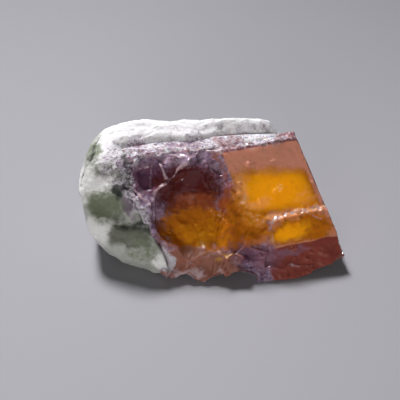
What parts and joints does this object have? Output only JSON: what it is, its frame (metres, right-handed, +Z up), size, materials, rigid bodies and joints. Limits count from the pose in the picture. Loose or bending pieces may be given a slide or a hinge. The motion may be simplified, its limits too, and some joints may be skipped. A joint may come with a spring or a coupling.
{
  "type": "scapolite crystal specimen",
  "caption": "Purple and amber scapolite prism, broken to shell-shaped hollows at one end, grown into pale rock. Lies flat as a hand specimen.",
  "frame": {"origin": "centre of the bounding box, at the level the specimen rests on", "axes": "+X along the length, from the rock end to the bare crystal end; -Y is the broken front; +Z is up"},
  "size_m": [0.0498, 0.0264, 0.021],
  "materials": {
    "scapolite": "glassy, cloudy to clear",
    "marble": "rough, sugary"
  },
  "bodies": {
    "root": {"scapolite_crystal": "scapolite", "host_rock": "marble"}
  },
  "joints": []
}
